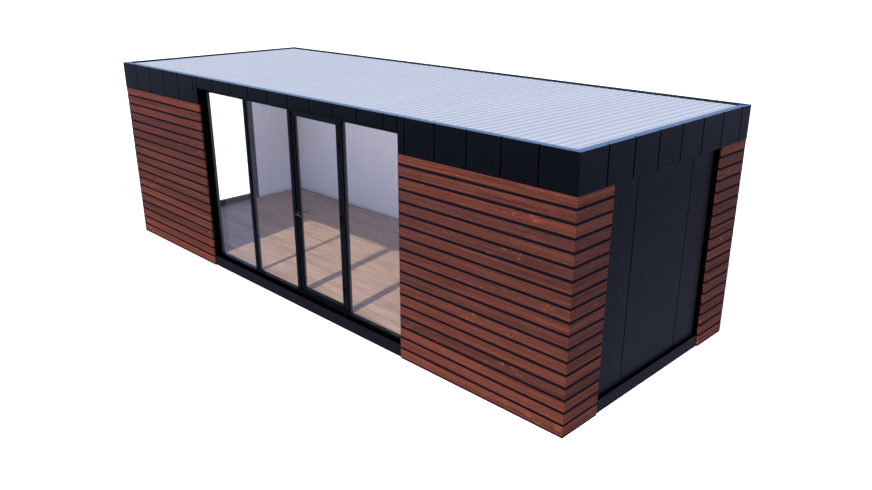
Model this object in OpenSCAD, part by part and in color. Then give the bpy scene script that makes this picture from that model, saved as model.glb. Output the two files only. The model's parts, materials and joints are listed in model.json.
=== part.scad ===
// Garden office pod: a flat-roofed cabin with timber-clad wings and a glazed front bay.
// Lengths are in millimetres. X runs along the front, Y from front to rear, Z is up.
// The origin is on the ground, under the middle of the pod.
// Depths are measured inwards from the outer face of the fascia.

/* [Overall] */
// Length of the pod along the front
pod_l = 8000; // [7300:50:12000]
// Width of the pod from front to rear
pod_w = 3000; // [2400:50:4500]
// Height from the ground to the top of the fascia
pod_h = 2580; // [2400:10:3000]

/* [Timber cladding] */
// Width of each clad wing beside the front bay
wing_w = 2100; // [1200:10:2400]
// Width of the clad column at each end of the short sides and the rear
column_w = 530; // [300:10:800]
// Depth of the cladding face behind the fascia face
cladding_inset = 3; // [2:1:16]
// Thickness of the cladding boards
cladding_t = 22; // [12:1:30]
// Gap between the cladding and the ground
cladding_ground_gap = 2; // [1:1:60]
// Thickness of the dark backing behind the boards
backing_t = 35; // [20:1:45]
// Thickness of the trim on the sides of each recess
trim_t = 3; // [2:1:6]

/* [Fascia] */
// Height of the fascia on the wings, ends and rear
fascia_h = 360; // [240:5:450]
// Height of the fascia over the front bay
bay_fascia_h = 145; // [100:5:200]
// Thickness of the fascia cassettes
fascia_t = 30; // [15:1:40]
// Spacing of the fascia joints
fascia_module = 400; // [250:10:700]
// Width of the open joint between cassettes
fascia_joint = 11; // [3:1:15]
// Drop of the parapet rail below the fascia top
rail_drop = 3; // [1:1:12]

/* [Walls] */
// Thickness of the wall panels
panel_t = 80; // [60:5:110]
// Width of one wall panel
panel_module = 1000; // [600:50:1200]
// Width of the joint between wall panels
panel_joint = 3; // [1:1:8]

/* [Base and floor] */
// Height of the base beams
base_h = 140; // [110:5:240]
// Depth of the plinth face behind the fascia face
plinth_inset = 20; // [10:1:35]
// Thickness of the insulated floor deck
deck_t = 100; // [60:5:105]
// Thickness of the laminate floor
laminate_t = 10; // [6:1:20]
// Expansion gap round the laminate
laminate_gap = 4; // [1:1:10]

/* [Roof] */
// Drop of the roof crests below the fascia top
roof_drop = 16; // [10:1:60]
// Height of the roof ribs
rib_h = 12; // [6:1:30]
// Spacing of the roof ribs
rib_pitch = 100; // [80:5:250]
// Width of a rib at its foot
rib_foot_w = 46; // [32:1:70]
// Width of a rib at its crest
rib_crest_w = 28; // [10:1:31]
// Thickness of the insulated roof sheet between the ribs
sheet_t = 22; // [8:1:40]
// Height of the roof ring beams
beam_h = 120; // [80:5:180]
// Thickness of the ceiling panel
ceiling_t = 40; // [20:5:75]

/* [Glazed bay] */
// Depth of the frame face behind the fascia face
frame_setback = 100; // [95:1:130]
// Depth of the frame
frame_depth = 60; // [60:1:90]
// Face width of the jambs and the head
frame_face = 30; // [20:1:60]
// Height of the sill
sill_h = 25; // [15:1:60]
// Face width of a mullion
mullion_w = 60; // [40:1:90]
// Clear width of the first fixed light
light_1_w = 870; // [500:10:1200]
// Clear width of the second fixed light
light_2_w = 870; // [500:10:1200]
// Clear width of the doorway
doorway_w = 870; // [700:10:1100]
// Depth of the glass behind the face of its frame or leaf
glass_setback = 18; // [10:1:33]
// Thickness of the glass units
glass_t = 14; // [8:1:15]

/* [Door] */
// Depth of the leaf face behind the frame face
leaf_inset = 11; // [0:1:12]
// Running gap round the door leaf
door_gap = 5; // [5:0.5:8]
// Face width of the stiles and rails
stile_w = 50; // [42:1:90]
// Height of one hinge knuckle
knuckle_h = 40; // [20:1:80]
// Radius of the hinge knuckles
knuckle_r = 7; // [5:0.5:7]
// Radius of the hinge pins
hinge_pin_r = 3.5; // [2:0.25:3.75]
// Distance of the hinge axis in front of the frame face
hinge_stand = 12; // [12:0.5:16]
// Width of a hinge flag beside the axis
hinge_flag_w = 20; // [14:1:35]
// Distance of the outer hinges from the ends of the leaf
hinge_margin = 220; // [120:10:500]
// Height of the lever axis above the ground
lever_z = 1160; // [900:10:1300]
// Distance of the lever axis from the edge of the leaf
lever_backset = 25; // [22:0.5:30]
// Length of a lever
lever_len = 110; // [80:1:160]
// Radius of a lever bar
lever_r = 9; // [6:0.5:10]
// Distance of a lever bar from the leaf face
lever_stand = 45; // [30:1:65]
// Radius of the lever spindle
spindle_r = 5; // [3:0.5:5.5]
// Radius of the lever roses
rose_r = 22; // [19:0.5:22]

/* [End window] */
// Width of the window in the left end
window_w = 1000; // [600:10:1600]
// Face width of the window members
window_member = 95; // [50:1:140]
// Depth of the window face behind the fascia face
window_setback = 75; // [70:1:90]
// Depth of the window members
window_depth = 60; // [40:1:75]

/* [Hidden] */
$fn = 48;
// Running clearance of a pin or spindle in its bore
pin_clear = 0.1;
// Axial play between two knuckles
knuckle_play = 0.3;
// Thickness of a hinge flag on each side of the hinge axis
hinge_flag_half_t = 4;
// Number of hinges on the door
hinge_count = 3;
// Clearance of the turning lever from the leaf and its roses
lever_clear = 5;
// Thickness of a rose
rose_t = 4;
// Overshoot of a cut past the solid that it opens
cut_over = 1;
// Depth of the back of the boards
skin_d = cladding_inset + cladding_t;
// Depth of the outer face of the wall panels and beams
wall_d = skin_d + backing_t;
// Depth of the inner face of the walls
inner_d = wall_d + panel_t;
// Underside of the deep fascia
fascia_z = pod_h - fascia_h;
// Underside of the fascia over the front bay
bay_fascia_z = pod_h - bay_fascia_h;
// Top of the parapet rail
rail_z = pod_h - rail_drop;
// Underside of the roof sheet, which lies on the ring beams
sheet_z = pod_h - roof_drop - rib_h - sheet_t;
// Top of the walls, under the ring beams
wall_z = sheet_z - beam_h;
// Edges of the front bay along the front
bay_x0 = wing_w;
bay_x1 = pod_l - wing_w;
// Left edges of the lights, from left to right
light_1_x = bay_x0 + frame_face;
light_2_x = light_1_x + light_1_w + mullion_w;
doorway_x = light_2_x + light_2_w + mullion_w;
light_4_x = doorway_x + doorway_w + mullion_w;
// Heights of the clear lights
light_z0 = base_h + sill_h;
light_z1 = wall_z - frame_face;
// Door leaf
leaf_x0 = doorway_x + door_gap;
leaf_x1 = doorway_x + doorway_w - door_gap;
leaf_z0 = light_z0 + door_gap;
leaf_z1 = light_z1 - door_gap;
leaf_d = frame_setback + leaf_inset;
leaf_back_d = frame_setback + frame_depth;
// Hinge axis and the foot of each hinge
hinge_x = leaf_x1 + door_gap / 2;
hinge_d = frame_setback - hinge_stand;
hinge_step = (leaf_z1 - leaf_z0 - 2 * (hinge_margin + knuckle_h)) / (hinge_count - 1);
hinge_z = [for (i = [0 : hinge_count - 1]) leaf_z0 + hinge_margin + i * hinge_step];
// Lever axis along the front
lever_x = leaf_x0 + lever_backset;
// End window along the end wall
window_x0 = (pod_w - window_w) / 2;
window_x1 = (pod_w + window_w) / 2;
// Colours of the finishes
timber = "#7a4334";
anthracite = "#1d2129";
panel_grey = "#262a33";
black = "#0b0c0f";
oak = "#b08d74";
roof_white = "#c9cfe2";
lining_white = "#b4b3c0";
glass_tint = [0.75, 0.82, 0.9, 0.35];
steel = "#8d9096";

// A box from its ranges along X, depth and Z
module block(x, d, z) {
    translate([x[0], d[0], z[0]])
        cube([x[1] - x[0], d[1] - d[0], z[1] - z[0]]);
}

// A side of the pod: X runs to the right as seen from outside, Y is the depth
module front_side() {
    translate([-pod_l / 2, -pod_w / 2, 0])
        children();
}
module right_side() {
    translate([pod_l / 2, -pod_w / 2, 0])
        rotate([0, 0, 90])
            children();
}
module rear_side() {
    translate([pod_l / 2, pod_w / 2, 0])
        rotate([0, 0, 180])
            children();
}
module left_side() {
    translate([-pod_l / 2, pod_w / 2, 0])
        rotate([0, 0, 270])
            children();
}

// The same piece on the left and on the right half of the pod
module both_halves() {
    children();
    mirror([1, 0, 0])
        children();
}

// A slab along a side, mitred at the pod's corners where asked
module slab(x, d, z, mitre_start = false, mitre_end = false) {
    start = [for (depth = d) x[0] + (mitre_start ? depth : 0)];
    end = [for (depth = d) x[1] - (mitre_end ? depth : 0)];
    translate([0, 0, z[0]])
        linear_extrude(z[1] - z[0])
            polygon([[start[0], d[0]], [end[0], d[0]], [end[1], d[1]], [start[1], d[1]]]);
}

// Joint lines along a run, from its start, with the rest in the last piece
function joints(x0, x1, step) = concat([for (x = [x0 : step : x1 - 1]) x], [x1]);

// Fascia cassettes along a run
module cassettes(x0, x1, z0, mitre_start = false, mitre_end = false) {
    edges = joints(x0, x1, fascia_module);
    last = len(edges) - 2;
    for (i = [0 : last]) {
        at_start = mitre_start && i == 0;
        at_end = mitre_end && i == last;
        slab([edges[i] + (at_start ? 0 : fascia_joint / 2), edges[i + 1] - (at_end ? 0 : fascia_joint / 2)],
             [0, fascia_t], [z0, pod_h], at_start, at_end);
    }
}

// Edges of the wall panels along a run, with one joint at a given place
function panel_edges(x0, x1, joint_x) =
    let (first = joint_x - panel_module * floor((joint_x - x0 - 1) / panel_module))
    concat([x0], [for (x = [first : panel_module : x1 - 1]) x], [x1]);

// Wall panels along a run, with open joints between them
module panels(x0, x1, joint_x, z) {
    edges = panel_edges(x0, x1, joint_x);
    last = len(edges) - 2;
    for (i = [0 : last])
        block([edges[i] + (i == 0 ? 0 : panel_joint / 2), edges[i + 1] - (i == last ? 0 : panel_joint / 2)],
              [wall_d, inner_d], z);
}

module base_beams_long() {
    color(black) {
        front_side()
            block([wall_d, pod_l - wall_d], [wall_d, inner_d], [0, base_h]);
        rear_side()
            block([wall_d, pod_l - wall_d], [wall_d, inner_d], [0, base_h]);
    }
}

module base_beams_short() {
    color(black)
        both_halves()
            right_side()
                block([inner_d, pod_w - inner_d], [wall_d, inner_d], [0, base_h]);
}

// Plinth plates stand between the clad corners
module plinth() {
    color(anthracite) {
        front_side()
            block([bay_x0, bay_x1], [plinth_inset, wall_d], [0, base_h]);
        rear_side()
            block([column_w, pod_l - column_w], [plinth_inset, wall_d], [0, base_h]);
        both_halves()
            right_side()
                block([column_w, pod_w - column_w], [plinth_inset, wall_d], [0, base_h]);
    }
}

module floor_deck() {
    color(oak)
        front_side()
            block([inner_d, pod_l - inner_d], [inner_d, pod_w - inner_d], [base_h - deck_t, base_h]);
}

// The laminate stops short of the walls and of the glazing frame
module floor_laminate() {
    color(oak)
        front_side()
            block([inner_d + laminate_gap, pod_l - inner_d - laminate_gap],
                  [max(inner_d, leaf_back_d) + laminate_gap, pod_w - inner_d - laminate_gap],
                  [base_h, base_h + laminate_t]);
}

module front_wall() {
    color(panel_grey)
        front_side()
            block([wall_d, wing_w - trim_t], [wall_d, inner_d], [base_h, wall_z]);
}

module front_wall_left() {
    front_wall();
}

module front_wall_right() {
    mirror([1, 0, 0])
        front_wall();
}

module rear_wall() {
    color(panel_grey)
        rear_side()
            panels(wall_d, pod_l - wall_d, pod_l / 2, [base_h, wall_z]);
}

module right_wall() {
    color(panel_grey)
        right_side()
            panels(inner_d, pod_w - inner_d, (pod_w - panel_module) / 2, [base_h, wall_z]);
}

// The left wall stands on both sides of the end window
module left_wall_sides() {
    color(panel_grey)
        left_side() {
            block([inner_d, window_x0], [wall_d, inner_d], [base_h, wall_z]);
            block([window_x1, pod_w - inner_d], [wall_d, inner_d], [base_h, wall_z]);
        }
}

module left_wall_lintel() {
    color(panel_grey)
        left_side()
            block([window_x0, window_x1], [wall_d, inner_d], [fascia_z, wall_z]);
}

module roof_beams_long() {
    color(black) {
        front_side()
            block([wall_d, pod_l - wall_d], [wall_d, inner_d], [wall_z, sheet_z]);
        rear_side()
            block([wall_d, pod_l - wall_d], [wall_d, inner_d], [wall_z, sheet_z]);
    }
}

module roof_beams_short() {
    color(black)
        both_halves()
            right_side()
                block([inner_d, pod_w - inner_d], [wall_d, inner_d], [wall_z, sheet_z]);
}

module ceiling() {
    color(lining_white)
        front_side()
            block([inner_d, pod_l - inner_d], [inner_d, pod_w - inner_d], [wall_z, wall_z + ceiling_t]);
}

// A ribbed sheet that lies on the ring beams between the parapets
module roof_sheet() {
    half_l = pod_l / 2 - wall_d;
    half_w = pod_w / 2 - wall_d;
    last = floor((2 * half_l - rib_foot_w) / rib_pitch);
    pan_z = sheet_z + sheet_t;
    crest_z = pan_z + rib_h;
    ribs = [for (i = [0 : last], corner = [0 : 3])
            let (x = (i - last / 2) * rib_pitch)
            [[x - rib_foot_w / 2, pan_z], [x - rib_crest_w / 2, crest_z],
             [x + rib_crest_w / 2, crest_z], [x + rib_foot_w / 2, pan_z]][corner]];
    outline = concat([[half_l, sheet_z], [-half_l, sheet_z], [-half_l, pan_z]], ribs, [[half_l, pan_z]]);
    color(roof_white)
        translate([0, half_w, 0])
            rotate([90, 0, 0])
                linear_extrude(2 * half_w)
                    polygon(outline);
}

// Parapet rails carry the fascia; the front one is shallow over the bay
module parapet_long() {
    color(anthracite) {
        front_side()
            slab([0, pod_l], [fascia_t, wall_d], [bay_fascia_z, rail_z], true, true);
        rear_side()
            slab([0, pod_l], [fascia_t, wall_d], [fascia_z, rail_z], true, true);
    }
}

module parapet_short() {
    color(anthracite)
        both_halves()
            right_side()
                slab([0, pod_w], [fascia_t, wall_d], [fascia_z, rail_z], true, true);
}

module wing_rails() {
    color(anthracite)
        both_halves()
            front_side()
                slab([0, wing_w], [fascia_t, wall_d], [fascia_z, bay_fascia_z], true);
}

module fascia_wing() {
    color(anthracite)
        front_side()
            cassettes(0, wing_w, fascia_z, true);
}

module fascia_front_left() {
    fascia_wing();
}

module fascia_front_right() {
    mirror([1, 0, 0])
        fascia_wing();
}

module fascia_front_middle() {
    color(anthracite)
        front_side()
            cassettes(bay_x0, bay_x1, bay_fascia_z);
}

module fascia_right() {
    color(anthracite)
        right_side()
            cassettes(0, pod_w, fascia_z, true, true);
}

module fascia_left() {
    mirror([1, 0, 0])
        fascia_right();
}

module fascia_rear() {
    color(anthracite)
        rear_side()
            cassettes(0, pod_l, fascia_z, true, true);
}

// The boards of a clad corner on one side
module corner_boards(width) {
    slab([0, width], [cladding_inset, skin_d], [cladding_ground_gap, fascia_z], true);
}

// The backing of a clad corner on one side, which stops at the trim
module corner_backing(width) {
    slab([0, width - trim_t], [skin_d, wall_d], [0, fascia_z], true);
}

module cladding_front() {
    color(timber)
        both_halves()
            front_side()
                corner_boards(wing_w);
}

module cladding_end() {
    color(timber) {
        right_side()
            corner_boards(column_w);
        mirror([0, 1, 0])
            right_side()
                corner_boards(column_w);
    }
}

module cladding_right() {
    cladding_end();
}

module cladding_left() {
    mirror([1, 0, 0])
        cladding_end();
}

module cladding_rear() {
    color(timber)
        both_halves()
            rear_side()
                corner_boards(column_w);
}

module backing_long() {
    color(black)
        both_halves() {
            front_side()
                corner_backing(wing_w);
            rear_side()
                corner_backing(column_w);
        }
}

module backing_short() {
    color(black)
        both_halves() {
            right_side()
                corner_backing(column_w);
            mirror([0, 1, 0])
                right_side()
                    corner_backing(column_w);
        }
}

// Trims on the sides of the front bay run from the boards back to the frame
module bay_trims() {
    profile = [[skin_d, 0], [wall_d, 0], [wall_d, base_h], [frame_setback, base_h],
               [frame_setback, wall_z], [wall_d, wall_z], [wall_d, fascia_z], [skin_d, fascia_z]];
    color(black)
        both_halves()
            front_side()
                translate([wing_w - trim_t, 0, 0])
                    rotate([90, 0, 90])
                        linear_extrude(trim_t)
                            polygon(profile);
}

// Trims on the sides of the end and rear recesses
module recess_trims() {
    x = [column_w - trim_t, column_w];
    color(black)
        both_halves() {
            rear_side()
                block(x, [skin_d, wall_d], [0, fascia_z]);
            right_side()
                block(x, [skin_d, wall_d], [0, fascia_z]);
            mirror([0, 1, 0])
                right_side()
                    block(x, [skin_d, wall_d], [0, fascia_z]);
        }
}

module frame_jambs() {
    d = [frame_setback, leaf_back_d];
    color(anthracite)
        front_side() {
            block([bay_x0, bay_x0 + frame_face], d, [base_h, wall_z]);
            block([bay_x1 - frame_face, bay_x1], d, [base_h, wall_z]);
        }
}

module frame_rails() {
    x = [bay_x0 + frame_face, bay_x1 - frame_face];
    d = [frame_setback, leaf_back_d];
    color(anthracite)
        front_side() {
            block(x, d, [base_h, light_z0]);
            block(x, d, [light_z1, wall_z]);
        }
}

module mullions() {
    color(anthracite)
        front_side()
            for (x = [light_2_x, doorway_x, light_4_x])
                block([x - mullion_w, x], [frame_setback, leaf_back_d], [light_z0, light_z1]);
}

module fixed_glass() {
    d = [frame_setback + glass_setback, frame_setback + glass_setback + glass_t];
    lights = [[light_1_x, light_1_x + light_1_w], [light_2_x, light_2_x + light_2_w],
              [light_4_x, bay_x1 - frame_face]];
    color(glass_tint)
        front_side()
            for (x = lights)
                block(x, d, [light_z0, light_z1]);
}

module window_jambs() {
    d = [window_setback, window_setback + window_depth];
    color(anthracite)
        left_side() {
            block([window_x0, window_x0 + window_member], d, [base_h, fascia_z]);
            block([window_x1 - window_member, window_x1], d, [base_h, fascia_z]);
        }
}

module window_rails() {
    x = [window_x0 + window_member, window_x1 - window_member];
    d = [window_setback, window_setback + window_depth];
    color(anthracite)
        left_side() {
            block(x, d, [base_h, base_h + window_member]);
            block(x, d, [fascia_z - window_member, fascia_z]);
        }
}

module window_glass() {
    middle = window_setback + window_depth / 2;
    color(glass_tint)
        left_side()
            block([window_x0 + window_member, window_x1 - window_member],
                  [middle - glass_t / 2, middle + glass_t / 2],
                  [base_h + window_member, fascia_z - window_member]);
}

// The flag of a hinge, from beside its axis back to the face that carries it
module hinge_flag(direction, reach) {
    near = direction * hinge_flag_half_t;
    far = direction * hinge_flag_w;
    block([min(near, far), max(near, far)], [-hinge_flag_half_t, reach], [0, knuckle_h]);
}

// Lower knuckles on the mullion, each with the pin that carries the door
module hinge_pins() {
    color(black)
        front_side()
            for (z = hinge_z)
                translate([hinge_x, hinge_d, z]) {
                    cylinder(h = knuckle_h, r = knuckle_r);
                    cylinder(h = 2 * knuckle_h, r = hinge_pin_r);
                    hinge_flag(1, hinge_stand);
                }
}

// Upper knuckles on the door leaf
module door_hinges() {
    color(black)
        front_side()
            for (z = hinge_z)
                translate([hinge_x, hinge_d, z + knuckle_h + knuckle_play])
                    difference() {
                        union() {
                            cylinder(h = knuckle_h, r = knuckle_r);
                            hinge_flag(-1, hinge_stand + leaf_inset);
                        }
                        translate([0, 0, -cut_over])
                            cylinder(h = knuckle_h + 2 * cut_over, r = hinge_pin_r + pin_clear);
                    }
}

// A round piece about the lever axis, from one depth to another
module lever_round(d, r) {
    translate([lever_x, d[0], lever_z])
        rotate([-90, 0, 0])
            cylinder(h = d[1] - d[0], r = r);
}

// The lock stile is bored for the lever spindle
module door_stiles() {
    d = [leaf_d, leaf_back_d];
    z = [leaf_z0, leaf_z1];
    color(anthracite)
        front_side() {
            difference() {
                block([leaf_x0, leaf_x0 + stile_w], d, z);
                lever_round([d[0] - cut_over, d[1] + cut_over], spindle_r + pin_clear);
            }
            block([leaf_x1 - stile_w, leaf_x1], d, z);
        }
}

module door_rails() {
    x = [leaf_x0 + stile_w, leaf_x1 - stile_w];
    d = [leaf_d, leaf_back_d];
    color(anthracite)
        front_side() {
            block(x, d, [leaf_z0, leaf_z0 + stile_w]);
            block(x, d, [leaf_z1 - stile_w, leaf_z1]);
        }
}

module door_glass() {
    color(glass_tint)
        front_side()
            block([leaf_x0 + stile_w, leaf_x1 - stile_w],
                  [leaf_d + glass_setback, leaf_d + glass_setback + glass_t],
                  [leaf_z0 + stile_w, leaf_z1 - stile_w]);
}

// Roses leave room for the lever to turn
module door_roses() {
    color(steel)
        front_side()
            for (d = [leaf_d - rose_t, leaf_back_d])
                difference() {
                    lever_round([d, d + rose_t], rose_r);
                    lever_round([d - cut_over, d + rose_t + cut_over], lever_r + lever_clear);
                }
}

module lever_spindle() {
    color(steel)
        front_side()
            lever_round([leaf_d - lever_clear, leaf_back_d + lever_clear], spindle_r);
}

// A lever: a neck on the axis and a bar that ends in a round tip
module lever(face_d, outwards) {
    bar_d = face_d + outwards * lever_stand;
    neck_d = face_d + outwards * lever_clear;
    front_side() {
        lever_round([min(bar_d, neck_d), max(bar_d, neck_d)], lever_r);
        translate([lever_x, bar_d, lever_z]) {
            sphere(r = lever_r);
            rotate([0, 90, 0])
                cylinder(h = lever_len - lever_r, r = lever_r);
            translate([lever_len - lever_r, 0, 0])
                sphere(r = lever_r);
        }
    }
}

module lever_outside() {
    color(steel)
        lever(leaf_d, -1);
}

module lever_inside() {
    color(steel)
        lever(leaf_back_d, 1);
}

base_beams_long();
base_beams_short();
plinth();
floor_deck();
floor_laminate();
front_wall_left();
front_wall_right();
rear_wall();
right_wall();
left_wall_sides();
left_wall_lintel();
roof_beams_long();
roof_beams_short();
ceiling();
roof_sheet();
parapet_long();
parapet_short();
wing_rails();
fascia_front_left();
fascia_front_middle();
fascia_front_right();
fascia_right();
fascia_left();
fascia_rear();
cladding_front();
cladding_right();
cladding_left();
cladding_rear();
backing_long();
backing_short();
bay_trims();
recess_trims();
frame_jambs();
frame_rails();
mullions();
fixed_glass();
window_jambs();
window_rails();
window_glass();
hinge_pins();
door_stiles();
door_rails();
door_glass();
door_hinges();
door_roses();
lever_spindle();
lever_outside();
lever_inside();
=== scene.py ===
"""Looks of the garden office pod, built around its packed construction. Lengths are in metres."""
import json
import math
import random

import bmesh
import bpy
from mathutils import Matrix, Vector


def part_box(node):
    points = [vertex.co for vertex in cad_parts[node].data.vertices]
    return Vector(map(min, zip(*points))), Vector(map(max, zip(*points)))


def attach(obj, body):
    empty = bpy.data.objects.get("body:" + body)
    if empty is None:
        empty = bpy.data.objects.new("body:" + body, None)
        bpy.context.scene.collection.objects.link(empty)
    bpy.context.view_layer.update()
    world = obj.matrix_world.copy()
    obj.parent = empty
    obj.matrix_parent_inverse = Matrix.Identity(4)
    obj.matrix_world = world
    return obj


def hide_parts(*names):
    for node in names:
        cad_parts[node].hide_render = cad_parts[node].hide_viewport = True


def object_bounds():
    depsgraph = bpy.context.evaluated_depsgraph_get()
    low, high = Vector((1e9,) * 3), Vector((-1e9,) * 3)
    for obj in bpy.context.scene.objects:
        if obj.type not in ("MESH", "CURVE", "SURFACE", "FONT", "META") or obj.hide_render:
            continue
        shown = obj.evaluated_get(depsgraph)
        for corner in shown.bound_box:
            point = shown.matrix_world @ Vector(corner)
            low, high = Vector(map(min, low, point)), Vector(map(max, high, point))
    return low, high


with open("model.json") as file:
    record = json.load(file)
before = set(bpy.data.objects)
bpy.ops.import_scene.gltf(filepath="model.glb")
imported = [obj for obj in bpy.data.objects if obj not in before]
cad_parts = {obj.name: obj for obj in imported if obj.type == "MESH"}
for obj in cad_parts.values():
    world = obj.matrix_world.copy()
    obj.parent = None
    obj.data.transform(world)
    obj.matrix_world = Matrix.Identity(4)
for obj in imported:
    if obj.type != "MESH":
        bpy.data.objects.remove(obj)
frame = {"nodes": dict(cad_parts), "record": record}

CAD_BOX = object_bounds()
SCENE = bpy.context.scene
RANDOM_SEED = 12

# Plan of the pod, from the frame
HALF_L = CAD_BOX[1].x
HALF_W = CAD_BOX[1].y
POD_L = 2 * HALF_L
POD_W = 2 * HALF_W
FASCIA_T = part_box("fascia_right")[1].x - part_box("parapet_short")[1].x
# Body and material slot of each node
BODY_OF = {n: b for b, ns in frame["record"]["behaviour"]["bodies"].items() for n in ns}
SLOT_OF = {s["node"]: s["material_slot"] for s in frame["record"]["subparts"]}

# Distances within which points are one, and angles of flat faces, sharp edges and sharp shading
WELD_FINE = 1e-6
WELD_NODE = 1e-5
FLAT_ANGLE = math.radians(1)
EDGE_ANGLE = math.radians(30)
SHADE_ANGLE = math.radians(35)
# Lean of a face's normal from which the face counts as an upper, a side or a joint face
FACING = 0.7
LEANING = 0.3
JOINT_LEANING = 0.2
# Width of the roof's edge, from the fascia to the inner side of the rails
ROOF_EDGE_W = 0.07
# Easing of edges
EASE = 0.0015
EASE_FASCIA = 0.001
EASE_PLINTH = 0.002
EASE_LINER = 0.0005
EASE_BEAM = 0.003
EASE_ROOF = 0.002
EASE_CEILING = 0.001
EASE_PIN = 0.0008
EASE_BAR = 0.001
# Cladding boards
BOARD_PITCH = 0.124
BOARD_FACE = 0.0965
BOARD_ROUND = 0.001
FIRST_BOARD_Z = 0.021
GROOVE_DEPTH = 0.0015
TONE_LOW = 0.18
TONE_HIGH = 0.84
KNOTTY_EVERY = 3
FEW_KNOTS = (0.0, 0.1, 0.3)
GRAIN_SPAN = 9.0
# Micro-ribs of the wall panels
RIB_PITCH = 0.050
OUTER_RIB = (0.012, 0.0011)
INNER_RIB = (0.016, 0.0042)
JOINT_CHAMFER = 0.005
JOINT_LIP = 0.0014
# Heights between which the wall panels' coat darkens from the foot to the head: painted shade under the
# fascia
PAINTED_SHADE_FOOT = 0.3
PAINTED_SHADE_HEAD = 2.2
# Laminate planks
PLANK_L = 1.285
PLANK_W = 0.192
PLANK_GAP = 0.0006
PLANK_ROUND = 0.0009
PLANK_START = (0.15, 0.85)
# Trim of the fascia joints on the short sides
SHORT_JOINT_TRIM = 0.005
JOINT_REACH = 0.001
# Depths under the top of the roof sheet between which its ribs grow lighter: painted shade in the pans
# between them
CREST_FOOT = 0.010
CREST_HEAD = 0.001
# Edge strip of the roof sheet
STRIP_W = 0.025
STRIP_H = 0.014
STRIP_DROP = 0.003
# Dark strips on the wall panels beside each clad corner: painted shade
SHADE_STRIP_W = 0.055
SHADE_STRIP_T = 0.0015
# Lever and rose plates
LEVER_R = 0.009
LEVER_BEND = 0.014
LEVER_FLAT = 0.3
NECK_SLIM = 0.1
LEVER_SIDES = 20
LEVER_STEPS = 6
NECK_STEPS = 3
GRIP_STEPS = 8
ROSE_R = 0.022
ROSE_BORE = 0.0105
ROSE_STEPS = 48
# Glazing gaskets
GASKET_W = 0.003
GASKET_PROUD = 0.002
# Distance from the glass out to where the frame's cheeks turn black
CHEEK_BLACK_REACH = 0.003
# How near to a pane's edge a face lies that belongs to its frame
PANE_REACH = 0.004
# Width of the black band along the front of its ledges
LEDGE_BLACK_W = 0.006
# Seals of the door leaf
SEAL_W = 0.008
SEAL_PROUD = 0.0008
SEAL_T = 0.002


class Nodes:
    """A tree of shader nodes, with short ways to add to it."""

    def __init__(self, tree):
        self.tree = tree

    def feed(self, socket, value):
        if isinstance(value, bpy.types.NodeSocket):
            self.tree.links.new(value, socket)
        else:
            socket.default_value = value

    def add(self, kind, inputs, **settings):
        node = self.tree.nodes.new(kind)
        for name, value in settings.items():
            setattr(node, name, value)
        for name, value in inputs.items():
            self.feed(node.inputs[name], value)
        return node

    def position(self, kind="Object"):
        return self.add("ShaderNodeTexCoord", {}).outputs[kind]

    def attribute(self, name, output="Vector"):
        return self.add("ShaderNodeAttribute", {}, attribute_name=name).outputs[output]

    def split(self, vector):
        return self.add("ShaderNodeSeparateXYZ", {0: vector}).outputs

    def join(self, x, y, z):
        return self.add("ShaderNodeCombineXYZ", {0: x, 1: y, 2: z}).outputs[0]

    def stretched(self, vector, scale):
        node = self.add("ShaderNodeVectorMath", {0: vector, 1: scale}, operation="MULTIPLY")
        return node.outputs[0]

    def noise(self, vector, scale=1.0, detail=3.0, roughness=0.55, distortion=0.0):
        inputs = {"Vector": vector, "Scale": scale, "Detail": detail,
                  "Roughness": roughness, "Distortion": distortion}
        return self.add("ShaderNodeTexNoise", inputs).outputs["Fac"]

    def math(self, operation, first, second=0.0, third=0.0):
        node = self.add("ShaderNodeMath", {0: first, 1: second, 2: third}, operation=operation)
        return node.outputs[0]

    def times(self, first, second):
        return self.math("MULTIPLY", first, second)

    def line(self, value, gain, start):
        return self.math("MULTIPLY_ADD", value, gain, start)

    def ranged(self, value, low, high, to_low=0.0, to_high=1.0):
        inputs = {"Value": value, "From Min": low, "From Max": high,
                  "To Min": to_low, "To Max": to_high}
        return self.add("ShaderNodeMapRange", inputs, interpolation_type="SMOOTHSTEP").outputs[0]

    def ramp(self, value, stops):
        node = self.add("ShaderNodeValToRGB", {0: value})
        band = node.color_ramp.elements
        while len(band) < len(stops):
            band.new(1.0)
        for element, (place, colour) in zip(band, stops):
            element.position = place
            element.color = (*colour, 1.0)
        return node.outputs[0]

    def mix(self, share, first, second, blend="MIX"):
        colours = [c if isinstance(c, bpy.types.NodeSocket) else (*c, 1.0) for c in (first, second)]
        node = self.add("ShaderNodeMix", {0: share, 6: colours[0], 7: colours[1]},
                        data_type="RGBA", blend_type=blend)
        return node.outputs[2]

    def scaled(self, colour, value):
        """A colour made lighter or darker by a number."""
        return self.mix(1.0, colour, self.join(value, value, value), "MULTIPLY")


class Finish(Nodes):
    """A procedural material: one Principled shader and the nodes before it."""

    def __init__(self, name, **sockets):
        self.material = bpy.data.materials.new(name)
        self.material.use_nodes = True
        super().__init__(self.material.node_tree)
        self.shader = self.tree.nodes["Principled BSDF"]
        self.set(**sockets)

    def set(self, **sockets):
        for name, value in sockets.items():
            self.feed(self.shader.inputs[name.replace("_", " ")], value)

    def bump(self, height, distance, strength=1.0):
        node = self.add("ShaderNodeBump", {"Height": height, "Distance": distance, "Strength": strength})
        self.set(Normal=node.outputs[0])


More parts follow.
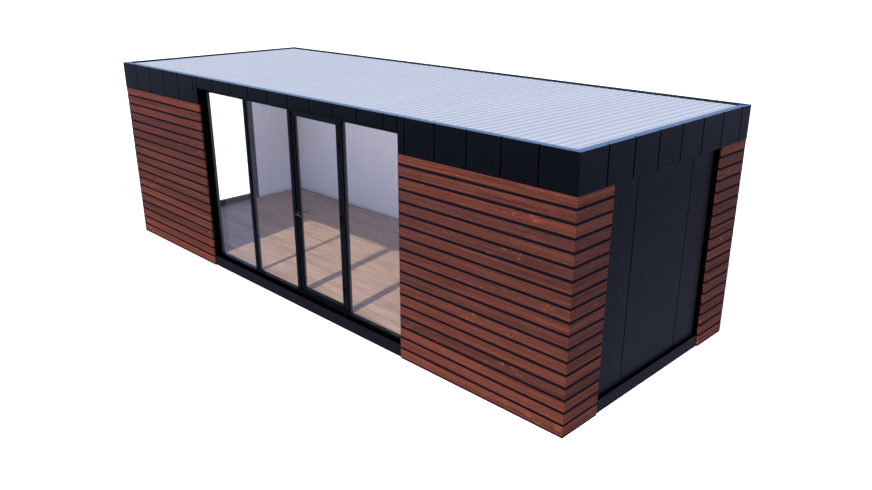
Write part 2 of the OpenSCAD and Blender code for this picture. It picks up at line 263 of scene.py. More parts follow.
def timber_finish():
    """Oiled reddish-brown boards: a tone for each board, fine broken streaks and flame-like knots."""
    f = Finish("timber", Specular_IOR_Level=0.14)
    along, across, seed = f.split(f.attribute("grain"))[0:3]
    tone = f.attribute("tone", "Fac")
    knotty = f.attribute("knotty", "Fac")
    base = f.ramp(tone, [(0.0, (0.0500, 0.0133, 0.0106)), (0.5, (0.0755, 0.0181, 0.0113)),
                         (1.0, (0.1170, 0.0245, 0.0115))])
    along = f.line(seed, 7.31, along)

    def grain(per_along, per_across, detail, roughness=0.55, distortion=0.0):
        place = f.join(f.times(along, per_along), f.times(level, per_across), seed)
        return f.noise(place, detail=detail, roughness=roughness, distortion=distortion)

    # Knots: scattered points, long along the board and gathered in groups
    spots = f.join(f.times(along, 6.0), f.times(across, 18.0), seed)
    cells = f.add("ShaderNodeTexVoronoi", {"Vector": spots, "Scale": 1.0, "Randomness": 0.9})
    cells = cells.outputs["Distance"]
    groups = f.ranged(f.noise(f.join(f.times(along, 1.1), seed, 0.0), detail=0.0), 0.44, 0.56)
    knots = f.times(groups, knotty)
    # The grain wanders along the board and bends round the knots
    bend = f.times(f.ranged(cells, 0.45, 0.0), f.times(knots, 0.022))
    wander = f.noise(f.join(f.times(along, 1.5), f.times(across, 7.0), seed), detail=1.0)
    level = f.math("ADD", f.line(wander, 0.030, across), bend)
    streaks = grain(0.8, 84.0, 2.0, roughness=0.6)
    flecks = grain(42.0, 95.0, 3.0, roughness=0.7)
    fibres = grain(5.0, 240.0, 2.0)
    bands = grain(0.4, 18.0, 0.0)
    light = f.line(streaks, 2.60, -0.30)
    light = f.times(light, f.line(flecks, 1.30, 0.35))
    light = f.times(light, f.line(fibres, 1.00, 0.50))
    light = f.times(light, f.line(bands, 0.24, 0.88))
    colour = f.scaled(base, light)
    # Orange flames and a dark heart about each knot
    curls = grain(17.0, 80.0, 1.0, distortion=1.2)
    flame = f.times(f.ranged(cells, 0.50, 0.10), f.ranged(curls, 0.50, 0.66))
    colour = f.mix(f.times(f.times(flame, knots), 0.90), colour, (0.235, 0.060, 0.021))
    late = f.times(f.ranged(cells, 0.60, 0.20), f.ranged(curls, 0.46, 0.34))
    colour = f.mix(f.times(f.times(late, knots), 0.5), colour, (0.034, 0.0095, 0.0065))
    f.set(Base_Color=colour, Roughness=f.line(fibres, 0.25, 0.48))
    f.bump(f.math("ADD", fibres, streaks), 0.0006, 0.5)
    return f.material


def coated_metal(name, dark, light, roughness, gloss=0.5, ior=1.5, painted_shade=None):
    """Powder-coated sheet: faint mottling and a fine orange peel. If given, the last argument is how light
    the coat is at the
    foot and at the head of a wall: painted shade that darkens the coat towards the head, under the fascia."""
    f = Finish(name, Specular_IOR_Level=gloss, IOR=ior)
    place = f.position()
    cloud = f.noise(place, scale=1.7, detail=3.0)
    grain = f.noise(place, scale=900.0, detail=1.0)
    colour = f.mix(cloud, dark, light)
    # Painted shade: the coat grows darker from the foot towards the head of the wall
    if painted_shade:
        colour = f.scaled(colour, f.ranged(f.split(place)[2], PAINTED_SHADE_FOOT, PAINTED_SHADE_HEAD, *painted_shade))
    f.set(Base_Color=colour, Roughness=f.line(cloud, 0.06, roughness - 0.03))
    f.bump(grain, 0.0001, 0.25)
    return f.material


def lining_finish(name, dark, light):
    """Pale inner lining with a soft, slightly uneven coat."""
    f = Finish(name)
    place = f.position()
    cloud = f.noise(place, scale=1.1, detail=2.0)
    grain = f.noise(place, scale=350.0, detail=2.0)
    f.set(Base_Color=f.mix(cloud, dark, light), Roughness=f.line(grain, 0.15, 0.5))
    f.bump(grain, 0.0002, 0.2)
    return f.material


def laminate_finish():
    """Light oak laminate: a tone for each plank, long grain and a satin coat."""
    f = Finish("laminate", Roughness=0.4)
    along, across, seed = f.split(f.attribute("grain"))[0:3]
    tone = f.attribute("tone", "Fac")
    place = f.join(f.math("ADD", along, f.times(seed, 3.7)), across, seed)
    fibres = f.noise(f.stretched(place, (2.5, 60.0, 1.0)), detail=2.0)
    streaks = f.noise(f.stretched(place, (0.7, 14.0, 1.0)), detail=1.0)
    base = f.ramp(tone, [(0.0, (0.2400, 0.1550, 0.1125)), (0.5, (0.2605, 0.1700, 0.1245)),
                         (1.0, (0.2820, 0.1855, 0.1370))])
    strips = f.noise(f.stretched(place, (1.8, 24.0, 1.0)), detail=1.0)
    light = f.line(fibres, 0.04, 0.98)
    light = f.times(light, f.line(streaks, 0.25, 0.875))
    light = f.times(light, f.line(strips, 1.10, 0.45))
    f.set(Base_Color=f.scaled(base, light), Roughness=f.line(fibres, 0.15, 0.34))
    f.bump(fibres, 0.00005, 0.2)
    return f.material


def roof_finish():
    """Pale coated roof sheet: painted shade darkens the pans between the ribs, and faint rain streaks follow
    the ribs.
    """
    f = Finish("roof_coating")
    place = f.position()
    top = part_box("roof_sheet")[1].z
    cloud = f.noise(place, scale=0.9, detail=3.0)
    streaks = f.noise(f.stretched(place, (14.0, 0.5, 1.0)), detail=2.0)
    # Painted shade: the pans between the ribs are darker than the crests
    crest = f.ranged(f.split(place)[2], top - CREST_FOOT, top - CREST_HEAD)
    colour = f.mix(crest, (0.357, 0.355, 0.368), (0.442, 0.433, 0.431))
    colour = f.scaled(colour, f.line(cloud, 0.08, 0.96))
    colour = f.scaled(colour, f.line(streaks, 0.12, 0.94))
    f.set(Base_Color=colour, Roughness=f.line(streaks, 0.12, 0.40))
    f.bump(f.noise(place, scale=600.0, detail=1.0), 0.0002, 0.2)
    return f.material


def rubber_finish():
    """Matt black gasket rubber."""
    f = Finish("gasket_rubber", Specular_IOR_Level=0.2)
    grain = f.noise(f.position(), scale=500.0, detail=2.0)
    f.set(Base_Color=f.mix(grain, (0.0015, 0.0015, 0.0018), (0.004, 0.004, 0.0045)),
          Roughness=f.line(grain, 0.1, 0.7))
    f.bump(grain, 0.0002, 0.4)
    return f.material


def steel_finish():
    """Dark satin steel with a fine brushed grain."""
    f = Finish("dark_steel", Metallic=0.9)
    place = f.position()
    brush = f.noise(f.stretched(place, (60.0, 60.0, 900.0)), detail=2.0)
    f.set(Base_Color=f.mix(brush, (0.060, 0.063, 0.072), (0.105, 0.110, 0.125)),
          Roughness=f.line(brush, 0.15, 0.28))
    f.bump(brush, 0.0001, 0.3)
    return f.material


def glass_finish():
    """Clear glass with a faint unevenness in its polish."""
    f = Finish("glass", Base_Color=(0.93, 0.95, 0.97, 1.0), IOR=1.12, Transmission_Weight=1.0)
    ripple = f.noise(f.position(), scale=2.0, detail=1.0)
    f.set(Roughness=f.times(ripple, 0.006))
    return f.material


TIMBER = timber_finish()
GROOVE = coated_metal("groove_stain", (0.0006, 0.0013, 0.0034), (0.0012, 0.0021, 0.0050), 0.7, gloss=0.1)
FASCIA = coated_metal("fascia_coating", (0.0001, 0.0003, 0.0007), (0.0003, 0.0006, 0.0012), 0.25)
# Pale blue coats on upper faces of the fascia, the rails and the roof's edge cap: painted sky reflection
FASCIA_PAINTED_SKY = coated_metal("fascia_top_painted_sky", (0.016, 0.058, 0.125), (0.021, 0.068, 0.142), 0.3)
RAIL_PAINTED_SKY = coated_metal("rail_top_painted_sky", (0.050, 0.077, 0.122), (0.061, 0.091, 0.141), 0.3)
# Dark navy coat on upper faces at the rear and the left: painted shade
SHADED_TOP = coated_metal("shaded_top", (0.0050, 0.0090, 0.0220), (0.0070, 0.0120, 0.0280), 0.6,
                          gloss=0.1)
# Wall panels: the coat darkens towards the head, painted shade under the fascia
PANEL = coated_metal("panel_coating", (0.0031, 0.0033, 0.0049), (0.0043, 0.0045, 0.0067), 0.33,
                     painted_shade=(1.6, 0.25))
PLINTH = coated_metal("plinth_coating", (0.0021, 0.0024, 0.0034), (0.0029, 0.0032, 0.0044), 0.28)
BLACK = coated_metal("black_lining", (0.0003, 0.0003, 0.0004), (0.0006, 0.0006, 0.0008), 0.9, gloss=0.0)
FRAME = coated_metal("frame_coating", (0.0006, 0.0009, 0.0016), (0.0010, 0.0014, 0.0024), 0.2)
# The frame coat made lighter on the front faces of the frame rails: painted light
RAIL_FACE_LIT = coated_metal("rail_coating_painted_light", (0.0027, 0.0034, 0.0060), (0.0033, 0.0041, 0.0069), 0.2)
# Dark navy coat on the rails' inner faces: painted shade
INNER_RAIL_SHADE = coated_metal("rail_inner_painted_shade", (0.0060, 0.0100, 0.0230), (0.0080, 0.0130, 0.0290), 0.6,
                          gloss=0.1)
REVEAL = coated_metal("reveal_coating", (0.046, 0.046, 0.050), (0.058, 0.058, 0.063), 0.3)
SILL = coated_metal("sill_coating", (0.0006, 0.0009, 0.0016), (0.0010, 0.0014, 0.0024), 0.05, ior=2.5)
WINDOW_FACE = coated_metal("window_inner_face", (0.024, 0.028, 0.040), (0.030, 0.034, 0.048), 0.4)
LINING = lining_finish("wall_lining", (0.622, 0.580, 0.548), (0.661, 0.619, 0.584))
CEILING = lining_finish("ceiling_lining", (0.80, 0.80, 0.82), (0.85, 0.85, 0.87))
LAMINATE = laminate_finish()
ROOF = roof_finish()
RUBBER = rubber_finish()
STEEL = steel_finish()
GLASS = glass_finish()


class Shape:
    """A mesh in the making: points, faces and what each face carries."""

    def __init__(self):
        self.points = []
        self.faces = []
        self.slots = []
        self.grain = []
        self.tone = []
        self.knotty = []

    def face(self, corners, slot=0, grain=None, tone=0.5, knotty=0.0):
        """Adds one face from its points and, for wood, a grain place for each point."""
        start = len(self.points)
        self.points += [tuple(c) for c in corners]
        self.faces.append(range(start, start + len(corners)))
        self.slots.append(slot)
        self.grain += grain or [(0.0, 0.0, 0.0)] * len(corners)
        self.tone += [tone] * len(corners)
        self.knotty += [knotty] * len(corners)

    def skin(self, rings, slot=0, grains=None, **carried):
        """Closes a row of rings, each a loop of points, into a solid with end faces."""
        sides = len(rings[0])
        grains = grains or [[(0.0, 0.0, 0.0)] * sides] * len(rings)
        for (a, ga), (b, gb) in zip(zip(rings, grains), zip(rings[1:], grains[1:])):
            for i in range(sides):
                j = (i + 1) % sides
                self.face([a[i], a[j], b[j], b[i]], slot, [ga[i], ga[j], gb[j], gb[i]], **carried)
        self.face(rings[0][::-1], slot, grains[0][::-1], **carried)
        self.face(rings[-1], slot, grains[-1], **carried)

    def build(self, name, finishes, body, slot, replaced=(), wood=False):
        mesh = bpy.data.meshes.new(name)
        mesh.from_pydata(self.points, [], self.faces)
        for i, polygon in enumerate(mesh.polygons):
            polygon.material_index = self.slots[i]
        if wood:
            grain = mesh.attributes.new("grain", "FLOAT_VECTOR", "POINT")
            grain.data.foreach_set("vector", [x for g in self.grain for x in g])
            for label, values in (("tone", self.tone), ("knotty", self.knotty)):
                mesh.attributes.new(label, "FLOAT", "POINT").data.foreach_set("value", values)
        weld(mesh)
        return show(name, mesh, finishes, body, slot, replaced)


def weld(mesh):
    """Joins points that lie in one place and turns the faces outwards."""
    bm = bmesh.new()
    bm.from_mesh(mesh)
    bmesh.ops.remove_doubles(bm, verts=bm.verts, dist=WELD_FINE)
    bmesh.ops.recalc_face_normals(bm, faces=bm.faces)
    bm.to_mesh(mesh)
    bm.free()


def show(name, mesh, finishes, body, slot, replaced=()):
    """Puts a mesh in the scene as a piece that rides on a body and stands for some nodes."""
    for finish in finishes:
        mesh.materials.append(finish)
    mesh.polygons.foreach_set("use_smooth", [True] * len(mesh.polygons))
    mesh.set_sharp_from_angle(angle=SHADE_ANGLE)
    piece = bpy.data.objects.new(name, mesh)
    SCENE.collection.objects.link(piece)
    piece.modifiers.new("flat_faces", "WEIGHTED_NORMAL").keep_sharp = True
    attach(piece, body)
    if replaced:
        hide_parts(*replaced)
    return piece


def node_shape(node):
    """A node's surface as one clean mesh, with flat faces whole."""
    bm = bmesh.new()
    bm.from_mesh(frame["nodes"][node].data)
    bmesh.ops.remove_doubles(bm, verts=bm.verts, dist=WELD_NODE)
    bmesh.ops.dissolve_limit(bm, angle_limit=FLAT_ANGLE, verts=bm.verts, edges=bm.edges)
    return bm


def solids(node):
    """The box of each solid of a node, as its lowest and highest corners."""
    bm = node_shape(node)
    left = set(bm.verts)
    boxes = []
    while left:
        group = [left.pop()]
        for vert in group:
            for edge in vert.link_edges:
                other = edge.other_vert(vert)
                if other in left:
                    left.remove(other)
                    group.append(other)
        low = Vector([min(v.co[i] for v in group) for i in range(3)])
        high = Vector([max(v.co[i] for v in group) for i in range(3)])
        boxes.append((low, high))
    bm.free()
    return sorted(boxes, key=lambda box: tuple(box[0]))


def dress(node, finishes, choose=None, bevel=EASE, segments=2, parts=(), joint_trim=0.0):
    """Shows a node with its edges eased. Choose picks a finish for a face from its normal and middle;
    parts are places in y where faces part; joint_trim widens the joints along y."""
    bm = node_shape(node)
    if joint_trim:
        ends = [high.y for low, high in solids(node)][:-1]
        for vert in bm.verts:
            if min(abs(vert.co.y - end) for end in ends) < JOINT_REACH:
                vert.co.y -= joint_trim
    sharp = [e for e in bm.edges if e.is_manifold and e.calc_face_angle(0.0) > EDGE_ANGLE]
    bmesh.ops.bevel(bm, geom=sharp, offset=bevel, segments=segments, profile=0.5,
                    affect="EDGES", clamp_overlap=True)
    bmesh.ops.recalc_face_normals(bm, faces=bm.faces)
    for place in parts:
        bmesh.ops.bisect_plane(bm, geom=bm.verts[:] + bm.edges[:] + bm.faces[:],
                               plane_co=(0, place, 0), plane_no=(0, 1, 0))
    if choose:
        for face in bm.faces:
            face.material_index = choose(face.normal, face.calc_center_median())
    mesh = bpy.data.meshes.new(node + "_finish")
    bm.to_mesh(mesh)
    bm.free()
    return show(node + "_finish", mesh, finishes, BODY_OF[node], SLOT_OF[node], (node,))


def fascia_finish(normal, middle):
    """As the roof edge, but the faces inside the joints between cassettes are black."""
    lengthwise = abs(middle.y) > HALF_W - FASCIA_T
    at_corner = lengthwise and abs(middle.x) > HALF_L - FASCIA_T
    along = normal.x if lengthwise else normal.y
    return 3 if abs(along) > JOINT_LEANING and not at_corner else roof_edge_finish(normal, middle)


def roof_edge_finish(normal, middle):
    """Upper faces at the front and the right get a pale blue coat, a painted sky reflection; those at the
    rear and the left get a dark navy coat, painted shade.
    """
    if normal.z < FACING:
        return 0
    return 2 if middle.y > HALF_W - ROOF_EDGE_W or middle.x < ROOF_EDGE_W - HALF_L else 1


def rail_finish(normal, middle):
    """As the roof edge, but the rails' inner faces get a dark navy coat, painted shade."""
    inwards = normal.x * middle.x + normal.y * middle.y < 0
    return 3 if inwards and normal.z < FACING else roof_edge_finish(normal, middle)


def upper_face(normal, middle):
    return 1 if normal.z > FACING else 0


def frame_round(node, glass):
    """Shows a piece of glazing frame: black outer bands on its cheeks and ledges, grey cheeks and polished
    ledges behind them.
    """
    panes = solids(glass)
    cheek = panes[0][0].y - CHEEK_BLACK_REACH
    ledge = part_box(node)[0].y + LEDGE_BLACK_W
    edges = [x for low, high in panes for x in (low.x, high.x)]

    def choose(normal, middle):
        beside = abs(normal.x) > LEANING and min(abs(middle.x - x) for x in edges) < PANE_REACH
        if not beside and normal.z < FACING:
            return 0
        if middle.y < (cheek if beside else ledge):
            return 1
        return 2 if beside else 3

    # Frame rails take the lighter copy of the frame coat, painted light
    face = RAIL_FACE_LIT if node.endswith("rails") else FRAME
    return dress(node, [face, BLACK, REVEAL, SILL], choose, parts=(cheek, ledge))


def room_face(normal, middle):
    return 1 if normal.x > FACING or normal.z > FACING else 0


class Side:
    """One side of the pod: places along it, depths inwards and its start on the way round."""

    def __init__(self, corner, along, inwards, start):
        self.corner = Vector(corner)
        self.along = Vector(along)
        self.inwards = Vector(inwards)
        self.start = start

    def at(self, place, depth, height):
        return self.corner + self.along * place + self.inwards * depth + Vector((0, 0, height))

    def reach(self, low, high):
        """The ranges along the side and inwards of a box given by its corners."""
        corners = [Vector((x, y, 0)) - self.corner for x in (low.x, high.x) for y in (low.y, high.y)]
        places = sorted(c.dot(self.along) for c in corners)
        depths = sorted(c.dot(self.inwards) for c in corners)
        return (places[0], places[-1]), (depths[0], depths[-1])


SIDES = {
    "front": Side((-HALF_L, -HALF_W, 0), (1, 0, 0), (0, 1, 0), 0.0),
    "right": Side((HALF_L, -HALF_W, 0), (0, 1, 0), (-1, 0, 0), POD_L),
    "rear": Side((HALF_L, HALF_W, 0), (-1, 0, 0), (0, -1, 0), POD_L + POD_W),
    "left": Side((-HALF_L, HALF_W, 0), (0, -1, 0), (1, 0, 0), 2 * POD_L + POD_W),
}


def rounded(width, height, radius, steps=3):
    """The outline of a rectangle about (0, 0) with round corners."""
    outline = []
    for corner in range(4):
        middle_x = (width / 2 - radius) * (1 if corner in (0, 3) else -1)
        middle_y = (height / 2 - radius) * (1 if corner in (0, 1) else -1)
        for step in range(steps + 1):
            angle = math.radians(90) * (corner + step / steps)
            outline.append((middle_x + radius * math.cos(angle), middle_y + radius * math.sin(angle)))
    return outline


def fill_groove(shape, side, places, depths, heights, at_start):
    """The stained tongue that fills the groove under or over a board, mitred like the boards."""
    rings = []
    for place, mitre in ((places[0], 1 if at_start else 0), (places[1], 0 if at_start else -1)):
        rings.append([side.at(place + mitre * (d - depths[0] + GROOVE_DEPTH), d, h)
                      for d, h in ((depths[0], heights[0]), (depths[1], heights[0]),
                                   (depths[1], heights[1]), (depths[0], heights[1]))])
    shape.skin(rings, 1)


def clad(side_name, rows):
    """Boards over a side's two clad corners, mitred where two sides meet."""
    node = "cladding_" + side_name
    side = SIDES[side_name]
    run = POD_L if side_name in ("front", "rear") else POD_W
    shape = Shape()
    for low, high in solids(node):
        (start, end), (face, back) = side.reach(low, high)
        at_start = start < run / 2
        middle = (face + back) / 2
        groove = (face + GROOVE_DEPTH, back)
        fill_groove(shape, side, (start, end), groove, (low.z, FIRST_BOARD_Z), at_start)
        for row, (tone, knotty, seed) in enumerate(rows):
            bottom = FIRST_BOARD_Z + row * BOARD_PITCH
            top = min(bottom + BOARD_FACE, high.z)
            if top - bottom < 2 * BOARD_ROUND:
                continue
            rings = []
            grains = []
            for place, mitre in ((start, 1 if at_start else 0), (end, 0 if at_start else -1)):
                ring = []
                grain = []
                for across, up in rounded(back - face, top - bottom, BOARD_ROUND):
                    depth = middle + across
                    where = place + mitre * (depth - face)
                    ring.append(side.at(where, depth, (bottom + top) / 2 + up))
                    grain.append((side.start + where, up + across, seed))
                rings.append(ring)
                grains.append(grain)
            shape.skin(rings, 0, grains, tone=tone, knotty=knotty)
            groove_top = min(bottom + BOARD_PITCH, high.z)
            if groove_top - top > BOARD_ROUND:
                fill_groove(shape, side, (start, end), groove, (top, groove_top), at_start)
    return shape.build("boards_" + side_name, [TIMBER, GROOVE], "pod", "timber", (node,), wood=True)


def board_rows():
    """A tone, a share of knots and a seed for each row of boards, the same all round."""
    dice = random.Random(RANDOM_SEED)
    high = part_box("cladding_front")[1]
    count = math.ceil((high.z - FIRST_BOARD_Z) / BOARD_PITCH)
    tones = [TONE_LOW + (TONE_HIGH - TONE_LOW) * row / (count - 1) for row in range(count)]
    dice.shuffle(tones)
    rows = []
    for row, tone in enumerate(tones):
        knotty = 1.0 if row % KNOTTY_EVERY == 0 else dice.choice(FEW_KNOTS)
        rows.append((tone, knotty, dice.uniform(0.0, GRAIN_SPAN)))
    return rows


def rib_profile(start, end, rib):
    """Places along a panel and how far its skin sinks there: flat lands with grooves between."""
    width, depth = rib
    count = max(1, round((end - start) / RIB_PITCH))
    profile = []
    for i in range(1, count):
        middle = start + i * (end - start) / count
        profile += [(middle - width / 2, 0.0), (middle - width / 4, depth),
                    (middle + width / 4, depth), (middle + width / 2, 0.0)]
    return profile


def ribbed_panel(shape, side, places, depths, heights, lips):
    """A wall panel with upright grooves: skin in slot 0, lining in slot 1 and joint faces in slot 2."""
    start, end = places
    outer = [(p, depths[0] + s) for p, s in rib_profile(start, end, OUTER_RIB)]
    outer = [(start + JOINT_CHAMFER, depths[0])] + outer + [(end - JOINT_CHAMFER, depths[0])]
    inner = [(p, depths[1] - s) for p, s in rib_profile(start, end, INNER_RIB)]
    inner = [(start - lips[0], depths[1])] + inner + [(end + lips[1], depths[1])]
    first = [(start, depths[0] + JOINT_CHAMFER), outer[0]]
    last = [outer[-1], (end, depths[0] + JOINT_CHAMFER)]
    edges = [[inner[0], first[0]], [last[1], inner[-1]]]
    for slot, skin in ((0, outer), (1, inner), (2, first), (2, last), (2, edges[0]), (2, edges[1])):
        for (a, depth_a), (b, depth_b) in zip(skin, skin[1:]):
            shape.face([side.at(a, depth_a, heights[0]), side.at(b, depth_b, heights[0]),
                        side.at(b, depth_b, heights[1]), side.at(a, depth_a, heights[1])], slot)
    outline = first[:1] + outer + last[1:] + inner[::-1]
    for height in heights:
        shape.face([side.at(p, d, height) for p, d in outline], 2)


def wall(node, side_name):
    """Shows a node's wall panels with micro-ribs outside and inside, and closed joints inside."""
    side = SIDES[side_name]
    shape = Shape()
    panels = sorted((*side.reach(low, high), (low.z, high.z)) for low, high in solids(node))
    for i, (places, depths, heights) in enumerate(panels):
        before = i > 0 and places[0] - panels[i - 1][0][1] < RIB_PITCH
        after = i + 1 < len(panels) and panels[i + 1][0][0] - places[1] < RIB_PITCH
        ribbed_panel(shape, side, places, depths, heights, (JOINT_LIP * before, JOINT_LIP * after))
    return shape.build(node + "_finish", [PANEL, LINING, BLACK], "pod", SLOT_OF[node], (node,))


def painted_corner_shade():
    """Dark strips on the wall panels beside each clad corner: painted shade where the panels meet the
    corners.
    """
    shape = Shape()
    for low, high in solids("recess_trims"):
        name = "rear" if high.x - low.x < high.y - low.y else ("right" if low.x > 0 else "left")
        side = SIDES[name]
        run = POD_L if name == "rear" else POD_W
        (start, end), (_, wall_depth) = side.reach(low, high)
        places = (end, end + SHADE_STRIP_W) if start < run / 2 else (start - SHADE_STRIP_W, start)
        corners = [side.at(p, d, 0) for p in places for d in (wall_depth - SHADE_STRIP_T, wall_depth)]
        bottom = [min(c[i] for c in corners) for i in range(2)] + [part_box("plinth")[1].z]
        top = [max(c[i] for c in corners) for i in range(2)] + [high.z]
        bar(shape, bottom, top, SHADE_STRIP_T / 3)
    return shape.build("corner_painted_shade", [BLACK], "pod", "backing")


def laminate():
    """Planks along the room, each with eased edges, in rows that start at odd places."""
    dice = random.Random(RANDOM_SEED + 1)
    low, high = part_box("floor_laminate")
    rows = math.ceil((high.y - low.y) / PLANK_W)
    middle = (low.z + high.z) / 2
    shape = Shape()
    for row in range(rows):
        near = low.y + row * PLANK_W
        far = min(near + PLANK_W, high.y)
        start = low.x - dice.uniform(*PLANK_START) * PLANK_L
        while start < high.x:
            a = max(start, low.x)
            b = min(start + PLANK_L, high.x)
            start += PLANK_L
            seed = dice.uniform(0.0, GRAIN_SPAN)
            tone = dice.random()
            rings = []
            grains = []
            for x in (a + PLANK_GAP / 2, b - PLANK_GAP / 2):
                outline = rounded(far - near - PLANK_GAP, high.z - low.z, PLANK_ROUND, 1)
                rings.append([(x, (near + far) / 2 + p, middle + q) for p, q in outline])
                grains.append([(x, near + p, seed) for p, q in outline])
            shape.skin(rings, 0, grains, tone=tone)
    return shape.build("floor_planks", [LAMINATE], "pod", "floor", ("floor_laminate",), wood=True)


def bar(shape, low, high, radius=EASE_BAR):
    """A straight bar with eased edges along its longest side."""
    size = [b - a for a, b in zip(low, high)]
    run = size.index(max(size))
    u, v = [i for i in range(3) if i != run]
    outline = rounded(size[u], size[v], min(radius, size[u] / 3, size[v] / 3), 1)
    rings = []
    for end in (low[run], high[run]):
        ring = []
        for p, q in outline:
            point = [0.0, 0.0, 0.0]
            point[run] = end
            point[u] = (low[u] + high[u]) / 2 + p
            point[v] = (low[v] + high[v]) / 2 + q
            ring.append(point)
        rings.append(ring)
    shape.skin(rings)


def gaskets(name, node):
    """Rubber strips round the panes of a node, on both faces of each pane."""
    shape = Shape()
    for low, high in solids(node):
        thin = 0 if high.x - low.x < high.y - low.y else 1
        wide = 1 - thin
        for out in (-1, 1):
            face = low[thin] if out < 0 else high[thin]
            across = sorted((face, face + out * GASKET_PROUD))
            spans = [((low[wide], low[wide] + GASKET_W), (low.z, high.z)),
                     ((high[wide] - GASKET_W, high[wide]), (low.z, high.z)),
                     ((low[wide] + GASKET_W, high[wide] - GASKET_W), (low.z, low.z + GASKET_W)),
                     ((low[wide] + GASKET_W, high[wide] - GASKET_W), (high.z - GASKET_W, high.z))]
            for sides, heights in spans:
                corner_a = [0.0, 0.0, heights[0]]
                corner_b = [0.0, 0.0, heights[1]]
                corner_a[thin], corner_b[thin] = across
                corner_a[wide], corner_b[wide] = sides
                bar(shape, corner_a, corner_b)
    return shape.build(name, [RUBBER], BODY_OF[node], "backing")


def door_seals():
    """Black seals down both edges of the door leaf's outer face."""
    low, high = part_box("door_stiles")
    front = low.y - SEAL_PROUD
    shape = Shape()
    for start in (low.x, high.x - SEAL_W):
        bar(shape, (start, front, low.z), (start + SEAL_W, front + SEAL_T, high.z), SEAL_T / 4)
    return shape.build("door_seals", [BLACK], "door", "backing")


def roses():
    """Round plates about the lever axis on both faces of the door, with a rounded rim."""
    axis = lever_axis()
    shape = Shape()
    for low, high in solids("door_roses"):
        outside = low.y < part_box("door_stiles")[0].y
        foot, front = (high.y, low.y) if outside else (low.y, high.y)
        outline = [(ROSE_BORE, 0.0), (ROSE_R, 0.0), (ROSE_R, 0.5), (0.96 * ROSE_R, 0.85),
                   (0.86 * ROSE_R, 1.0), (1.25 * ROSE_BORE, 1.0), (1.08 * ROSE_BORE, 0.8),
                   (ROSE_BORE, 0.4)]
        rings = []
        for step in range(ROSE_STEPS):
            turn = 2 * math.pi * step / ROSE_STEPS
            rings.append([(axis.x + r * math.cos(turn), foot + (front - foot) * t,
                           axis.z + r * math.sin(turn)) for r, t in outline])
        for a, b in zip(rings, rings[1:] + rings[:1]):
            for i in range(len(outline)):
                j = (i + 1) % len(outline)
                shape.face([a[i], a[j], b[j], b[i]])
    return shape.build("rose_plates", [STEEL], "door", "hardware", ("door_roses",))


def lever_axis():
    low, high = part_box("lever_spindle")
    return (low + high) / 2


def lever(node):
    """A lever bent from its neck into a flattened grip with a round tip."""
    low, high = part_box(node)
    axis = lever_axis()
    outside = high.y < axis.y
    foot = high.y if outside else low.y
    grip = low.y + LEVER_R if outside else high.y - LEVER_R
    way = 1 if grip > foot else -1
    turn_at = grip - way * LEVER_BEND
    path = [((axis.x, foot + (turn_at - foot) * i / NECK_STEPS), (0.0, way), 0.0)
            for i in range(NECK_STEPS + 1)]
    for step in range(1, LEVER_STEPS + 1):
        angle = math.radians(90) * step / LEVER_STEPS
        place = (axis.x + LEVER_BEND * (1 - math.cos(angle)),
                 turn_at + way * LEVER_BEND * math.sin(angle))
        path.append((place, (math.sin(angle), way * math.cos(angle)), step / LEVER_STEPS))
    reach = high.x - axis.x - LEVER_BEND
    path += [((axis.x + LEVER_BEND + reach * i / GRIP_STEPS, grip), (1.0, 0.0), 1.0)
             for i in range(1, GRIP_STEPS)]
    rings = []
    for (x, y), (along_x, along_y), flat in path:
        rings.append(lever_ring(x, y, axis.z, along_x, along_y, flat, 1.0))
    tip = high.x - LEVER_R
    for step in range(1, LEVER_STEPS):
        angle = math.radians(90) * step / LEVER_STEPS
        x = tip + LEVER_R * math.sin(angle)
        rings.append(lever_ring(x, grip, axis.z, 1.0, 0.0, 1.0, math.cos(angle)))
    shape = Shape()
    shape.skin(rings)
    return shape.build(node + "_finish", [STEEL], "lever", "hardware", (node,))


def lever_ring(x, y, z, along_x, along_y, flat, share):
    """One cross-section of a lever: round at the neck, flatter along the grip."""
    deep = LEVER_R * share * (1.0 - LEVER_FLAT * flat)
    tall = LEVER_R * share * (1.0 - NECK_SLIM * (1.0 - flat))
    ring = []
    for step in range(LEVER_SIDES):
        turn = 2 * math.pi * step / LEVER_SIDES
        out = deep * math.cos(turn)
        ring.append((x - along_y * out, y + along_x * out, z + tall * math.sin(turn)))
    return ring


def roof_strips():
    """Strips at the roof's edges: a pale one closes the ribs at the rear, and a cap by the rails carries the
    pale blue coat of the rail tops, a painted sky reflection.
    """
    low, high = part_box("roof_sheet")
    foot = high.z - STRIP_H
    top = high.z - STRIP_DROP
    pale = Shape()
    bar(pale, (low.x, high.y - STRIP_W, foot), (high.x, high.y, top))
    pale.build("roof_edge_strip", [ROOF], "pod", "roof")
    cap = Shape()
    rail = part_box("parapet_long")[1].z
    bar(cap, (low.x, low.y, foot), (high.x, low.y + STRIP_W, rail))
    bar(cap, (high.x - STRIP_W, low.y + STRIP_W, foot), (high.x, high.y - STRIP_W, rail))
    cap.build("roof_edge_cap", [RAIL_PAINTED_SKY], "pod", "roof")


def glaze(node):
    """Gives a node clear glass that lets the light through."""
    pane = frame["nodes"][node]
    pane.data.materials.clear()
    pane.data.materials.append(GLASS)
    pane.visible_shadow = False
    pane.visible_diffuse = False


